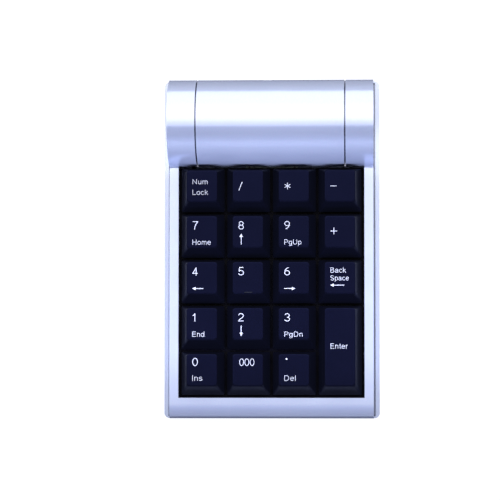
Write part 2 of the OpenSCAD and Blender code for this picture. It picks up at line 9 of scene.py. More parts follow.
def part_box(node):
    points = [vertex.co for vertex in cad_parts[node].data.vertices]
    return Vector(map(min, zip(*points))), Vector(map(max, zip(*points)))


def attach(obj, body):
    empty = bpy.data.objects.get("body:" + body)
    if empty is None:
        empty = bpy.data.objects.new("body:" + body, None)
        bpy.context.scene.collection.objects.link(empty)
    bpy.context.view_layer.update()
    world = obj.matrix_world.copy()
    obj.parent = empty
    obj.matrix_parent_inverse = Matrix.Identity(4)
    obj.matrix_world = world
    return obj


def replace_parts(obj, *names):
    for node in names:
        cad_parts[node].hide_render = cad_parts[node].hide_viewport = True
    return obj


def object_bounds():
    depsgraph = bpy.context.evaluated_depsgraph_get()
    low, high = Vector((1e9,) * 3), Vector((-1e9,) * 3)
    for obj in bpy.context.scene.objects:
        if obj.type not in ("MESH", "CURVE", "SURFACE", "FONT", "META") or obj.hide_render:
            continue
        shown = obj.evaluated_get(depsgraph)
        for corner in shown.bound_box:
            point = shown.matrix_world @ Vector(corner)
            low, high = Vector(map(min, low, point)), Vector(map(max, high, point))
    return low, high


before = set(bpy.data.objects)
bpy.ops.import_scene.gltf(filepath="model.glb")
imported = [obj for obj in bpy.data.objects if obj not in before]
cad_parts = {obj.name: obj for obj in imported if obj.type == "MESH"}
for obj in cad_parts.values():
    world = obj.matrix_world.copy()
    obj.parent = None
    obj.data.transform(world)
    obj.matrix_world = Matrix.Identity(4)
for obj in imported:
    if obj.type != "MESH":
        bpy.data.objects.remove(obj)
cad_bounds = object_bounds()

MM = 0.001

# Keycap shape, in millimetres
CAP_H = 8.0
CAP_TOP_W = 12.6
CAP_REAR_SLOPE = 1.0
CAP_FRONT_SLOPE = 3.9
CAP_WALL = 1.3
CAP_ROOF = 2.0
CAP_EDGE_R = 0.4
DISH_R = 33.0
DISH_DEPTH = 0.6

# ---------------------------------------------------------------- mesh helpers


def add_object(name, bm, material, body, smooth_deg=40):
    """Makes an object in metres from a mesh in millimetres, and rides it on a body."""
    bmesh.ops.recalc_face_normals(bm, faces=bm.faces)
    for v in bm.verts:
        v.co *= MM
    mesh = bpy.data.meshes.new(name)
    bm.to_mesh(mesh)
    bm.free()
    obj = bpy.data.objects.new(name, mesh)
    bpy.context.scene.collection.objects.link(obj)
    mesh.materials.append(material)
    smooth(obj, smooth_deg)
    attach(obj, body)
    return obj


def smooth(obj, degrees):
    """Smooth shading, with edges over an angle left sharp."""
    obj.data.shade_smooth()
    obj.data.set_sharp_from_angle(angle=math.radians(degrees))


def skin(bm, rings, close_start=True, close_end=True):
    """Joins rings of points, each with the same count, with quads."""
    loops = [[bm.verts.new(p) for p in ring] for ring in rings]
    n = len(loops[0])
    for a, b in zip(loops, loops[1:]):
        for i in range(n):
            j = (i + 1) % n
            bm.faces.new((a[i], a[j], b[j], b[i]))
    if close_start:
        cap_ring(bm, loops[0])
    if close_end:
        cap_ring(bm, loops[-1])
    return loops


def cap_ring(bm, loop):
    """Closes a loop of vertices with a fan to its middle."""
    centre = bm.verts.new(sum((v.co for v in loop), Vector()) / len(loop))
    n = len(loop)
    for i in range(n):
        bm.faces.new((loop[i], loop[(i + 1) % n], centre))


def circle_point(r, i, n):
    """Point i of n round a circle of radius r."""
    a = 2 * math.pi * i / n
    return r * math.cos(a), r * math.sin(a)


def rounded_rect(x0, x1, y0, y1, r, corner=6, side=8):
    """Points round a rounded rectangle, anticlockwise from the right end of the front side."""
    least = 0.01
    r = max(min(r, (x1 - x0) / 2 - least, (y1 - y0) / 2 - least), least)
    corners = [(x1 - r, y0 + r, -90), (x1 - r, y1 - r, 0), (x0 + r, y1 - r, 90), (x0 + r, y0 + r, 180)]
    points = []
    for k, (cx, cy, start) in enumerate(corners):
        for i in range(corner + 1):
            a = math.radians(start + 90 * i / corner)
            points.append((cx + r * math.cos(a), cy + r * math.sin(a)))
        nx, ny, nstart = corners[(k + 1) % 4]
        ax, ay = points[-1]
        a = math.radians(nstart)
        bx, by = nx + r * math.cos(a), ny + r * math.sin(a)
        for i in range(1, side):
            points.append((ax + (bx - ax) * i / side, ay + (by - ay) * i / side))
    return points


def lathe(bm, profile, place, segments=48):
    """Turns a profile of (radius, height) pairs round an axis. place(x, y, h) gives the point."""
    return skin(bm, [[place(*circle_point(r, i, segments), h) for i in range(segments)] for r, h in profile])


def tube(bm, points, radius, sides=10):
    """Sweeps a circle along points."""
    rings = []
    up = Vector((0, 0, 1))
    for i, p in enumerate(points):
        ahead = (points[min(i + 1, len(points) - 1)] - points[max(i - 1, 0)]).normalized()
        side = ahead.cross(up)
        if side.length < 1e-3:
            side = ahead.cross(Vector((1, 0, 0)))
        side.normalize()
        up = side.cross(ahead).normalized()
        ring = []
        for k in range(sides):
            x, y = circle_point(radius, k, sides)
            ring.append(p + x * side + y * up)
        rings.append(ring)
    skin(bm, rings)


# ---------------------------------------------------------------- materials


class Nodes:
    """Short spelling for building a node tree."""

    def __init__(self, name):
        self.material = bpy.data.materials.new(name)
        self.material.use_nodes = True
        self.tree = self.material.node_tree
        self.bsdf = self.tree.nodes["Principled BSDF"]
        self.coords = self.add("ShaderNodeTexCoord").outputs["Object"]

    def add(self, kind, **values):
        node = self.tree.nodes.new(kind)
        for key, value in values.items():
            setattr(node, key, value)
        return node

    def link(self, a, b):
        self.tree.links.new(a, b)

    def noise(self, scale, detail=3, rough=0.5, stretch=None):
        """Cloudy pattern, 0 to 1. stretch scales X, Y and Z, for brushed metal."""
        node = self.add("ShaderNodeTexNoise")
        node.inputs["Scale"].default_value = scale
        node.inputs["Detail"].default_value = detail
        node.inputs["Roughness"].default_value = rough
        source = self.coords
        if stretch:
            mapping = self.add("ShaderNodeMapping")
            mapping.inputs["Scale"].default_value = stretch
            self.link(source, mapping.inputs["Vector"])
            source = mapping.outputs["Vector"]
        self.link(source, node.inputs["Vector"])
        return node.outputs["Fac"]

    def cells(self, scale):
        """Small cells of random colours, for metal flake."""
        node = self.add("ShaderNodeTexVoronoi")
        node.inputs["Scale"].default_value = scale
        self.link(self.coords, node.inputs["Vector"])
        return node.outputs["Color"]

    def ramp(self, fac, stops, interpolation="LINEAR"):
        """Turns 0 to 1 into colours, by (position, colour) stops."""
        node = self.add("ShaderNodeValToRGB")
        node.color_ramp.interpolation = interpolation
        elements = node.color_ramp.elements
        while len(elements) < len(stops):
            elements.new(0.5)
        for element, (position, colour) in zip(elements, stops):
            element.position = position
            element.color = (*colour, 1)
        self.link(fac, node.inputs["Fac"])
        return node.outputs["Color"]

    def span(self, fac, low, high):
        """Turns 0 to 1 into low to high."""
        node = self.add("ShaderNodeMapRange")
        node.inputs["To Min"].default_value = low
        node.inputs["To Max"].default_value = high
        self.link(fac, node.inputs["Value"])
        return node.outputs["Result"]

    def feed(self, socket, value):
        """Gives a socket a link, a number or a colour."""
        if isinstance(value, bpy.types.NodeSocket):
            self.link(value, socket)
        elif isinstance(value, (int, float)):
            socket.default_value = value
        else:
            socket.default_value = (*value, 1)

    def mix(self, fac, a, b, blend="MIX"):
        node = self.add("ShaderNodeMix", data_type="RGBA", blend_type=blend)
        # Sockets 6 and 7 are the two colours, and output 2 the mixed one
        for index, value in ((0, fac), (6, a), (7, b)):
            self.feed(node.inputs[index], value)
        return node.outputs[2]

    def shelter(self, reach):
        """1 in the open, falling towards 0 where other surfaces stand within reach millimetres."""
        node = self.add("ShaderNodeAmbientOcclusion", samples=8)
        node.inputs["Distance"].default_value = reach * MM
        return node.outputs["AO"]

    def axis(self, name, low, high):
        """The position along X, Y or Z as 0 to 1 between two places in millimetres."""
        split = self.add("ShaderNodeSeparateXYZ")
        self.link(self.coords, split.inputs[0])
        node = self.add("ShaderNodeMapRange")
        node.inputs["From Min"].default_value = low * MM
        node.inputs["From Max"].default_value = high * MM
        self.link(split.outputs[name], node.inputs["Value"])
        return node.outputs["Result"]

    def lanes(self, brick_w, row_h, mortar):
        """Rows of long bricks, in metres: 1 in the gaps between them."""
        node = self.add("ShaderNodeTexBrick")
        for name, value in (("Scale", 1.0), ("Brick Width", brick_w), ("Row Height", row_h),
                            ("Mortar Size", mortar)):
            node.inputs[name].default_value = value
        self.link(self.coords, node.inputs["Vector"])
        return node.outputs["Fac"]

    def set(self, **inputs):
        """Gives the shader's inputs, by short names, a link, a number or a colour."""
        names = {"colour": "Base Color", "rough": "Roughness", "metal": "Metallic",
                 "spec": "Specular IOR Level", "spec_tint": "Specular Tint", "coat": "Coat Weight",
                 "coat_rough": "Coat Roughness", "sheen": "Sheen Weight", "glow": "Emission Color",
                 "glow_strength": "Emission Strength"}
        for key, value in inputs.items():
            self.feed(self.bsdf.inputs[names[key]], value)

    def bump(self, *layers):
        """Bumps the surface. Each layer is (height output, depth in millimetres)."""
        last = None
        for height, depth in layers:
            node = self.add("ShaderNodeBump")
            node.inputs["Strength"].default_value = 1
            node.inputs["Distance"].default_value = depth * MM
            self.link(height, node.inputs["Height"])
            if last:
                self.link(last, node.inputs["Normal"])
            last = node.outputs["Normal"]
        self.link(last, self.bsdf.inputs["Normal"])


def silver_paint():
    """Silver lacquer with metal flake under a thin clear coat, and painted shade in its seams and grooves."""
    m = Nodes("silver_paint")
    flake = m.cells(9000)
    cloud = m.noise(45, 3)
    base = m.mix(0.5, m.ramp(cloud, [(0.3, (0.57, 0.63, 0.84)), (0.7, (0.61, 0.67, 0.87))]),
                 m.mix(0.25, (0.59, 0.65, 0.855), flake, "OVERLAY"))
    # Painted shade in the seams and grooves: the colour darkens where other surfaces stand close
    painted_crease_shade = m.ramp(m.shelter(1.2), [(0.25, (0.05, 0.06, 0.12)), (0.6, (1, 1, 1))])
    m.set(colour=m.mix(1, base, painted_crease_shade, "MULTIPLY"), metal=0.5,
          rough=m.span(m.noise(700, 4), 0.14, 0.2), coat=0.4, coat_rough=0.1)
    m.bump((m.noise(5200, 2), 0.004), (m.noise(160, 2), 0.006))
    return m.material


def key_plastic(name="key_plastic", rough=(0.3, 0.4), spec=0.18, spec_tint=(0.2, 0.25, 1.0)):
    """Near-black moulded plastic with a fine grain, and a faint painted glow."""
    m = Nodes(name)
    grime = m.noise(90, 4, 0.6)
    m.set(colour=m.ramp(grime, [(0.3, (0.0009, 0.0010, 0.0035)), (0.7, (0.0014, 0.0015, 0.0050))]),
          rough=m.span(m.noise(420, 3), *rough), spec=spec, spec_tint=spec_tint)
    # Painted light: a faint bluish glow that lifts the dark plastic, even where it faces its neighbours
    m.set(glow=(0.35, 0.42, 0.9), glow_strength=0.0065)
    m.bump((m.noise(3800, 3, 0.6), 0.018))
    return m.material


def legend_ink():
    """White printing ink, a little worn."""
    m = Nodes("legend_ink")
    m.set(colour=m.ramp(m.noise(900, 3), [(0.3, (0.58, 0.60, 0.70)), (0.7, (0.68, 0.70, 0.80))]),
          rough=m.span(m.noise(2600, 2), 0.45, 0.6), spec=0.3)
    m.bump((m.noise(6000, 2), 0.006))
    return m.material


def moulded(name, low, high, rough=(0.4, 0.55), grain=2600, depth=0.012, spec=0.4):
    """Grained plastic whose colour drifts from low to high."""
    m = Nodes(name)
    m.set(colour=m.ramp(m.noise(120, 4), [(0.3, low), (0.7, high)]),
          rough=m.span(m.noise(500, 3), *rough), spec=spec)
    m.bump((m.noise(grain, 3), depth))
    return m.material


def rubber(name, low, high):
    """Dull rubber with a slight bloom."""
    m = Nodes(name)
    m.set(colour=m.ramp(m.noise(160, 4, 0.65), [(0.3, low), (0.72, high)]),
          rough=m.span(m.noise(700, 3), 0.68, 0.85), spec=0.3, sheen=0.12)
    m.bump((m.noise(2400, 4, 0.65), 0.03))
    return m.material


def metal(name, low, high, rough, stretch=None, depth=0.004):
    """Bare metal, brushed along one direction if stretch is given."""
    m = Nodes(name)
    brushed = m.noise(500, 5, 0.6, stretch)
    m.set(colour=m.ramp(m.noise(140, 3), [(0.3, low), (0.7, high)]), metal=1.0,
          rough=m.span(brushed, *rough))
    m.bump((brushed, depth))
    return m.material


def board_resist():
    """Green lacquer with faint tracks under it."""
    m = Nodes("board_resist")
    tracks = m.lanes(0.0062, 0.0011, 0.00022)
    base = m.mix(tracks, (0.012, 0.085, 0.035), (0.025, 0.15, 0.06))
    cloud = m.ramp(m.noise(300, 3), [(0.3, (0.01, 0.07, 0.03)), (0.7, (0.03, 0.17, 0.07))])
    m.set(colour=m.mix(0.2, base, cloud), rough=m.span(m.noise(900, 3), 0.2, 0.34), spec=0.5)
    m.bump((tracks, 0.02), (m.noise(2500, 2), 0.004))
    return m.material


def film_print():
    """Clear film with printed tracks."""
    m = Nodes("film_print")
    m.set(colour=m.mix(m.lanes(0.019, 0.0032, 0.0004), (0.60, 0.68, 0.64), (0.35, 0.36, 0.36)),
          rough=m.span(m.noise(300, 3), 0.18, 0.3), spec=0.5)
    m.bump((m.noise(120, 2), 0.02))
    return m.material


def cell_wrap(name, plus_x, minus_x):
    """Shrunk film along X: dark body, and a coloured band towards the positive end."""
    m = Nodes(name)
    bands = [(0.0, (0.035, 0.04, 0.05)), (0.66, (0.55, 0.30, 0.07)), (0.68, (0.75, 0.46, 0.12)),
             (0.9, (0.60, 0.33, 0.08))]
    wrap = m.ramp(m.axis("X", minus_x, plus_x), bands, "CONSTANT")
    scuffs = m.ramp(m.noise(220, 4), [(0.3, (0.03, 0.03, 0.03)), (0.7, (0.6, 0.5, 0.3))])
    m.set(colour=m.mix(0.15, wrap, scuffs), rough=m.span(m.noise(600, 3), 0.22, 0.36),
          metal=0.35, coat=0.4, coat_rough=0.15)
    m.bump((m.noise(260, 3), 0.01))
    return m.material


PAINT = silver_paint()
KEY = key_plastic()
INK = legend_ink()
MECHANISM = moulded("mechanism_plastic", (0.0012, 0.0012, 0.0035), (0.002, 0.002, 0.006), (0.5, 0.65),
                    spec=0.1)
SWITCH = moulded("switch_plastic", (0.012, 0.012, 0.014), (0.028, 0.028, 0.03), (0.35, 0.5))
CHIP = moulded("chip_epoxy", (0.012, 0.012, 0.013), (0.025, 0.025, 0.027), (0.55, 0.7), 5000, 0.01)
DOMES = rubber("dome_rubber", (0.24, 0.25, 0.27), (0.32, 0.33, 0.35))
FOOT = rubber("foot_rubber", (0.018, 0.018, 0.02), (0.045, 0.045, 0.05))
PLATE = metal("plate_zinc", (0.50, 0.50, 0.51), (0.62, 0.62, 0.64), (0.3, 0.45), (1, 0.04, 1))
WIRE = metal("spring_wire", (0.62, 0.62, 0.64), (0.75, 0.75, 0.77), (0.14, 0.26), (0.1, 1, 1), 0.002)
NICKEL = metal("contact_nickel", (0.62, 0.60, 0.55), (0.76, 0.73, 0.68), (0.16, 0.3), (1, 1, 0.1), 0.003)
CAN = metal("component_can", (0.58, 0.59, 0.61), (0.72, 0.73, 0.75), (0.22, 0.36), (0.15, 1, 1))
SCREW = metal("screw_black_zinc", (0.10, 0.10, 0.105), (0.2, 0.2, 0.21), (0.28, 0.42), None, 0.006)
BOARD = board_resist()
FILM = film_print()

# ---------------------------------------------------------------- carried-over CAD nodes

# Material and width of the rounded edges, in millimetres
CAD_LOOKS = {
    "bottom_case": (PAINT, 0.25), "top_case": (PAINT, 0.22), "battery_door": (PAINT, 0.1),
    "guide_plate": (MECHANISM, 0.12), "dome_sheet": (DOMES, 0.1), "membrane_top": (FILM, 0),
    "membrane_spacer": (FILM, 0), "membrane_bottom": (FILM, 0), "backing_plate": (PLATE, 0.05),
    "enter_stabiliser": (WIRE, 0), "controller_board": (BOARD, 0.08), "control_chip": (CHIP, 0.08),
    "crystal": (CAN, 0.15), "capacitors": (CAN, 0.15), "clamp_bar": (MECHANISM, 0.15),
    "clamp_pad": (DOMES, 0.08), "positive_contact": (NICKEL, 0.05), "power_switch_body": (SWITCH, 0.15),
    "power_switch_knob": (SWITCH, 0.15), "connect_switch": (SWITCH, 0.15), "connect_button": (SWITCH, 0.2),
    "case_screws": (SCREW, 0.12), "module_screws": (SCREW, 0.08), "board_screws": (SCREW, 0.08),
    "clamp_screws": (SCREW, 0.08), "foot_front_left": (FOOT, 0.3), "foot_front_right": (FOOT, 0.3),
    "foot_rear_left": (FOOT, 0.3), "foot_rear_right": (FOOT, 0.3),
}


def dress(node, material, bevel):
    """Gives a CAD node its material and rounded edges, and keeps its flat faces flat."""
    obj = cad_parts[node]
    obj.data.materials.clear()
    obj.data.materials.append(material)
    weld = obj.modifiers.new("weld", "WELD")
    weld.merge_threshold = 0.002 * MM
    if bevel:
        flat = obj.modifiers.new("flat", "DECIMATE")
        flat.decimate_type = "DISSOLVE"
        flat.angle_limit = math.radians(0.5)
        edge = obj.modifiers.new("edge", "BEVEL")
        edge.width = bevel * MM
        edge.segments = 3
        edge.limit_method = "ANGLE"
        edge.angle_limit = math.radians(40)
        edge.miter_outer = "MITER_ARC"
    obj.data.shade_smooth()
    split = obj.modifiers.new("split", "EDGE_SPLIT")
    split.split_angle = math.radians(35)
    obj.modifiers.new("normals", "WEIGHTED_NORMAL")


for node, (material, bevel) in CAD_LOOKS.items():
    dress(node, material, bevel)

# ---------------------------------------------------------------- keycaps


def dish_drop(x):
    """How far the dished top lies below the cap's highest point, at a distance x from the key's middle."""
    return max(DISH_DEPTH - (DISH_R - math.sqrt(DISH_R ** 2 - x * x)), 0.0)


class Cap:
    """The shape of one keycap, from its CAD node's box, in millimetres."""

    def __init__(self, node):
        low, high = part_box(node)
        self.node = node
        self.x = (low.x + high.x) / 2 / MM
        self.y = (low.y + high.y) / 2 / MM
        self.half_w = (high.x - low.x) / 2 / MM
        self.half_l = (high.y - low.y) / 2 / MM
        self.top = high.z / MM
        self.base = self.top - CAP_H
        self.stem_z = low.z / MM

    def ring(self, share, inset=0.0, round_r=None, drop=0.0):
        """A loop at a share of the height, drawn in by inset. The dish shapes it more towards the top."""
        half_w = self.half_w + (CAP_TOP_W / 2 - self.half_w) * share - inset
        rear = self.half_l - CAP_REAR_SLOPE * share - inset
        front = -self.half_l + CAP_FRONT_SLOPE * share + inset
        r = (0.6 + 0.7 * share - inset * 0.6) if round_r is None else round_r
        points = []
        for px, py in rounded_rect(-half_w, half_w, front, rear, max(r, 0.15)):
            z = self.base + CAP_H * share - drop - dish_drop(px) * share ** 3
            points.append(Vector((self.x + px, self.y + py, z)))
        return points

    def surface(self, px):
        """Height of the dished top at a distance px from the key's middle."""
        return self.top - dish_drop(px)


def keycap(node):
    """A hollow cap with slightly hollow sides, a rounded top edge and a dished top, and its stem."""
    cap = Cap(node)
    bm = bmesh.new()
    # Inside, from the roof down to the rim
    roof = (CAP_H - CAP_ROOF) / CAP_H
    inside = [(roof, 2.2), (roof, 0.5), (roof * 0.93, 0.1),
              (0.6, -0.1), (0.3, -0.1), (0.05, -0.1), (0.0, -0.25)]
    rings = [cap.ring(share, CAP_WALL + inset) for share, inset in inside]
    # Rim and sides
    rings += [cap.ring(share, inset) for share, inset in ((0.0, 0.22), (0.012, 0.06), (0.04, 0.0))]
    for share in (0.12, 0.25, 0.4, 0.55, 0.7, 0.8, 0.87):
        rings.append(cap.ring(share, 0.1 * math.sin(math.pi * share) ** 2))
    # Rounded top edge
    steps = 6
    for i in range(steps + 1):
        a = math.radians(90 * i / steps)
        share = 1 - CAP_EDGE_R / CAP_H * (1 - math.sin(a))
        rings.append(cap.ring(share, CAP_EDGE_R * (1 - math.cos(a)) * 0.9 + 0.02))
    # The dished top, drawn in to its middle
    for inset in (0.8, 1.2, 1.8, 2.5, 3.2, 4.0, 4.8, 5.5, CAP_TOP_W / 2 - 0.25):
        rings.append(cap.ring(1.0, inset, max(1.1 - inset * 0.2, 0.2)))
    skin(bm, rings)
    body = add_object("cap_" + node[4:], bm, KEY, node, 50)
    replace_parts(body, node)
    stem(cap)
    return cap


def stem(cap):
    """Round stem with its two ribs, from the roof of the cap down to the dome."""
    bm = bmesh.new()
    foot, roof = cap.stem_z, cap.top - 1.6
    profile = [(2.4, foot), (2.7, foot + 0.1), (2.8, foot + 0.35), (2.8, foot + 3),
               (2.8, roof - 0.9), (3.0, roof - 0.5), (3.5, roof)]
    lathe(bm, profile, lambda a, b, h: Vector((cap.x + a, cap.y + b, h)), 40)
    reach, half_t = 3.55, 0.5
    rings = []
    for z, inset in ((0.1, 0.12), (0.22, 0.0), (2.9, 0.0), (3.1, 0.2)):
        plan = rounded_rect(inset - reach, reach - inset, inset - half_t, half_t - inset, 0.2, 3, 4)
        rings.append([Vector((cap.x + px, cap.y + py, foot + z)) for px, py in plan])
    skin(bm, rings)
    add_object("stem_" + cap.node[4:], bm, KEY, cap.node, 40)


caps = {}
for node in sorted(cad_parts):
    if node.startswith("key_"):
        caps[node] = keycap(node)

# ---------------------------------------------------------------- legends

# Strokes of each character on a cap height of 1: an advance width, then polylines ("l", points) and
# elliptical arcs ("a", centre x, centre y, radius x, radius y, start, end) in degrees, anticlockwise.
GLYPHS = {
    "0": (0.66, [("a", 0.31, 0.5, 0.25, 0.44, 0, 360)]),
    "1": (0.50, [("l", (0.12, 0.70), (0.24, 0.76), (0.34, 0.94)), ("l", (0.34, 0.94), (0.34, 0.0))]),
    "2": (0.64, [("a", 0.31, 0.69, 0.235, 0.25, -28, 172),
                 ("l", (0.517, 0.573), (0.44, 0.47), (0.17, 0.24), (0.08, 0.06), (0.56, 0.06))]),
    "3": (0.66, [("a", 0.30, 0.71, 0.21, 0.23, -90, 160), ("a", 0.30, 0.27, 0.245, 0.21, -165, 90)]),
    "4": (0.66, [("l", (0.60, 0.26), (0.06, 0.26), (0.42, 0.90)), ("l", (0.44, 0.95), (0.44, 0.0))]),
    "5": (0.66, [("l", (0.54, 0.94), (0.16, 0.94), (0.09, 0.47)), ("a", 0.305, 0.32, 0.25, 0.26, -160, 140)]),
    "6": (0.66, [("a", 0.31, 0.31, 0.245, 0.255, 0, 360), ("a", 0.55, 0.33, 0.485, 0.61, 100, 184)]),
    "7": (0.62, [("l", (0.06, 0.94), (0.56, 0.94), (0.40, 0.66), (0.27, 0.33), (0.22, 0.0))]),
    "8": (0.66, [("a", 0.31, 0.72, 0.205, 0.22, 0, 360), ("a", 0.31, 0.28, 0.25, 0.225, 0, 360)]),
    "9": (0.66, [("a", 0.31, 0.69, 0.245, 0.255, 0, 360), ("a", 0.07, 0.67, 0.485, 0.61, -80, 4)]),
    "/": (0.40, [("l", (0.02, -0.03), (0.38, 1.0))]),
    "B": (0.74, [("l", (0.12, 0.5), (0.12, 0.94), (0.36, 0.94)),
                 ("l", (0.36, 0.52), (0.12, 0.52), (0.12, 0.06), (0.38, 0.06)),
                 ("a", 0.36, 0.73, 0.20, 0.21, -90, 90), ("a", 0.38, 0.29, 0.23, 0.23, -90, 90)]),
    "D": (0.80, [("l", (0.34, 0.06), (0.12, 0.06), (0.12, 0.94), (0.34, 0.94)),
                 ("a", 0.34, 0.5, 0.33, 0.44, -90, 90)]),
    "E": (0.70, [("l", (0.60, 0.94), (0.12, 0.94), (0.12, 0.06), (0.62, 0.06)),
                 ("l", (0.12, 0.52), (0.56, 0.52))]),
    "H": (0.78, [("l", (0.12, 0.0), (0.12, 1.0)), ("l", (0.64, 0.0), (0.64, 1.0)),
                 ("l", (0.12, 0.52), (0.64, 0.52))]),
    "I": (0.30, [("l", (0.14, 0.0), (0.14, 1.0))]),
    "L": (0.62, [("l", (0.12, 1.0), (0.12, 0.06), (0.56, 0.06))]),
    "N": (0.80, [("l", (0.12, 0.0), (0.12, 0.94), (0.64, 0.06), (0.64, 1.0))]),
    "P": (0.72, [("l", (0.12, 0.0), (0.12, 0.94), (0.38, 0.94)), ("a", 0.38, 0.70, 0.23, 0.24, -90, 90),
                 ("l", (0.38, 0.46), (0.12, 0.46))]),
    "S": (0.72, [("a", 0.34, 0.71, 0.23, 0.23, 18, 248), ("a", 0.35, 0.27, 0.245, 0.215, -162, 68),
                 ("l", (0.254, 0.497), (0.442, 0.469))]),
    "U": (0.78, [("l", (0.12, 1.0), (0.12, 0.34)), ("a", 0.38, 0.34, 0.26, 0.28, 180, 360),
                 ("l", (0.64, 0.34), (0.64, 1.0))]),
    "a": (0.60, [("a", 0.27, 0.50, 0.19, 0.19, 20, 165), ("l", (0.452, 0.56), (0.455, 0.14), (0.52, 0.05)),
                 ("a", 0.25, 0.205, 0.20, 0.15, 60, 300), ("l", (0.345, 0.335), (0.45, 0.38)),
                 ("l", (0.345, 0.076), (0.455, 0.17))]),
    "c": (0.56, [("a", 0.29, 0.365, 0.215, 0.315, 42, 318)]),
    "d": (0.62, [("a", 0.27, 0.365, 0.205, 0.315, 0, 360), ("l", (0.49, 0.0), (0.49, 1.0))]),
    "e": (0.60, [("a", 0.29, 0.365, 0.22, 0.315, 5, 322), ("l", (0.07, 0.385), (0.51, 0.385))]),
    "g": (0.62, [("a", 0.27, 0.365, 0.205, 0.315, 0, 360), ("l", (0.49, 0.72), (0.49, 0.0)),
                 ("a", 0.28, -0.02, 0.21, 0.20, -155, 5)]),
    "k": (0.56, [("l", (0.11, 0.0), (0.11, 1.0)), ("l", (0.46, 0.70), (0.12, 0.34)),
                 ("l", (0.24, 0.46), (0.49, 0.0))]),
    "l": (0.26, [("l", (0.12, 0.0), (0.12, 1.0))]),
    "m": (0.90, [("l", (0.11, 0.0), (0.11, 0.72)), ("a", 0.27, 0.50, 0.16, 0.18, 0, 180),
                 ("l", (0.43, 0.50), (0.43, 0.0)), ("a", 0.59, 0.50, 0.16, 0.18, 0, 180),
                 ("l", (0.75, 0.50), (0.75, 0.0))]),
    "n": (0.60, [("l", (0.11, 0.0), (0.11, 0.72)), ("a", 0.29, 0.48, 0.18, 0.20, 0, 180),
                 ("l", (0.47, 0.48), (0.47, 0.0))]),
    "o": (0.62, [("a", 0.30, 0.365, 0.225, 0.315, 0, 360)]),
    "p": (0.62, [("a", 0.31, 0.365, 0.205, 0.315, 0, 360), ("l", (0.11, 0.72), (0.11, -0.24))]),
    "r": (0.40, [("l", (0.11, 0.0), (0.11, 0.72)), ("a", 0.33, 0.44, 0.22, 0.24, 88, 165)]),
    "s": (0.54, [("a", 0.25, 0.52, 0.17, 0.155, 25, 240), ("a", 0.255, 0.215, 0.185, 0.165, -160, 60),
                 ("l", (0.165, 0.386), (0.3475, 0.358))]),
    "t": (0.36, [("l", (0.17, 0.92), (0.17, 0.14), (0.24, 0.06), (0.33, 0.06)),
                 ("l", (0.04, 0.68), (0.32, 0.68))]),
    "u": (0.60, [("l", (0.11, 0.72), (0.11, 0.25)), ("a", 0.28, 0.25, 0.17, 0.20, 180, 360),
                 ("l", (0.47, 0.72), (0.47, 0.0))]),
}

# Left edge of the printing from the middle of a cap, its heights and its stroke widths, in millimetres
LEFT = -3.9
WORD_H = 2.15
DIGIT_H = 3.5
THIN = 0.18
THICK = 0.27


def word(text, baseline, width, height=WORD_H, left=LEFT, stroke=THIN):
    return ("word", text, (left, baseline), (width, height), stroke)


def digit(text, baseline=2.45, width=2.25):
    return word(text, baseline, width, DIGIT_H, stroke=THICK)


def arrow(tail, tip):
    return ("arrow", tail, tip)


# Marks on each cap: positions and sizes in millimetres from its middle
LEGENDS = {
    "key_num_lock": [word("Num", 2.25, 6.2, 2.1), word("Lock", -2.2, 6.4)],
    "key_divide": [digit("/", -0.35, 1.7)],
    "key_multiply": [("star", (-2.6, 1.4), 1.35)],
    "key_minus": [("bar", (-3.9, 1.25), (-1.4, 1.51))],
    "key_7": [digit("7"), word("Home", -3.85, 7.6)],
    "key_8": [digit("8"), arrow((-2.75, -3.8), (-2.75, 0.8))],
    "key_9": [digit("9"), word("PgUp", -3.85, 7.0)],
    "key_plus": [("bar", (-3.9, 1.61), (-1.1, 1.89)), ("bar", (-2.64, 0.35), (-2.36, 3.15))],
    "key_4": [digit("4"), arrow((0.6, -2.95), (-4.0, -2.95))],
    "key_5": [digit("5")],
    "key_6": [digit("6"), arrow((-4.0, -2.95), (0.6, -2.95))],
    "key_backspace": [word("Back", 3.55, 6.4), word("Space", 0.35, 7.6, 2.1),
                      arrow((1.8, -1.6), (-4.0, -1.6))],
    "key_1": [digit("1", width=1.15), word("End", -3.85, 4.9)],
    "key_2": [digit("2"), arrow((-2.75, 0.8), (-2.75, -3.6))],
    "key_3": [digit("3"), word("PgDn", -3.85, 7.5)],
    "key_enter": [word("Enter", 0.75, 7.2, 2.2)],
    "key_0": [digit("0", 3.05), word("Ins", -3.0, 4.1, 2.3)],
    "key_000": [word("000", 3.1, 6.2, 3.2, -3.5, 0.22)],
    "key_decimal": [("dot", (-3.05, 6.05), 0.36), word("Del", -3.0, 4.6, 2.3)],
}


def stroke_points(stroke):
    """A stroke as lists of points: one list, or two for a closed ring, whose halves overlap by a degree."""
    if stroke[0] == "l":
        return [[Vector(p) for p in stroke[1:]]]
    _, cx, cy, rx, ry, start, end = stroke
    spans = [(start, end)] if end - start < 360 else [(-1, 181), (179, 361)]
    lists = []
    for low, high in spans:
        n = max(6, round((high - low) / 14))
        angles = [math.radians(low + (high - low) * i / n) for i in range(n + 1)]
        lists.append([Vector((cx + rx * math.cos(a), cy + ry * math.sin(a))) for a in angles])
    return lists


def outline(points, half):
    """The outline of a stroke of even width, with mitred corners that are cut short when they are sharp."""
    left, right = [], []
    for i, p in enumerate(points):
        before = (p - points[i - 1]).normalized() if i else (points[1] - p).normalized()
        after = (points[i + 1] - p).normalized() if i + 1 < len(points) else before
        normal = Vector((-before.y, before.x))
        middle = (normal + Vector((-after.y, after.x))).normalized()
        reach = half / max(middle.dot(normal), 0.4)
        left.append(p + middle * reach)
        right.append(p - middle * reach)
    return right + left[::-1]


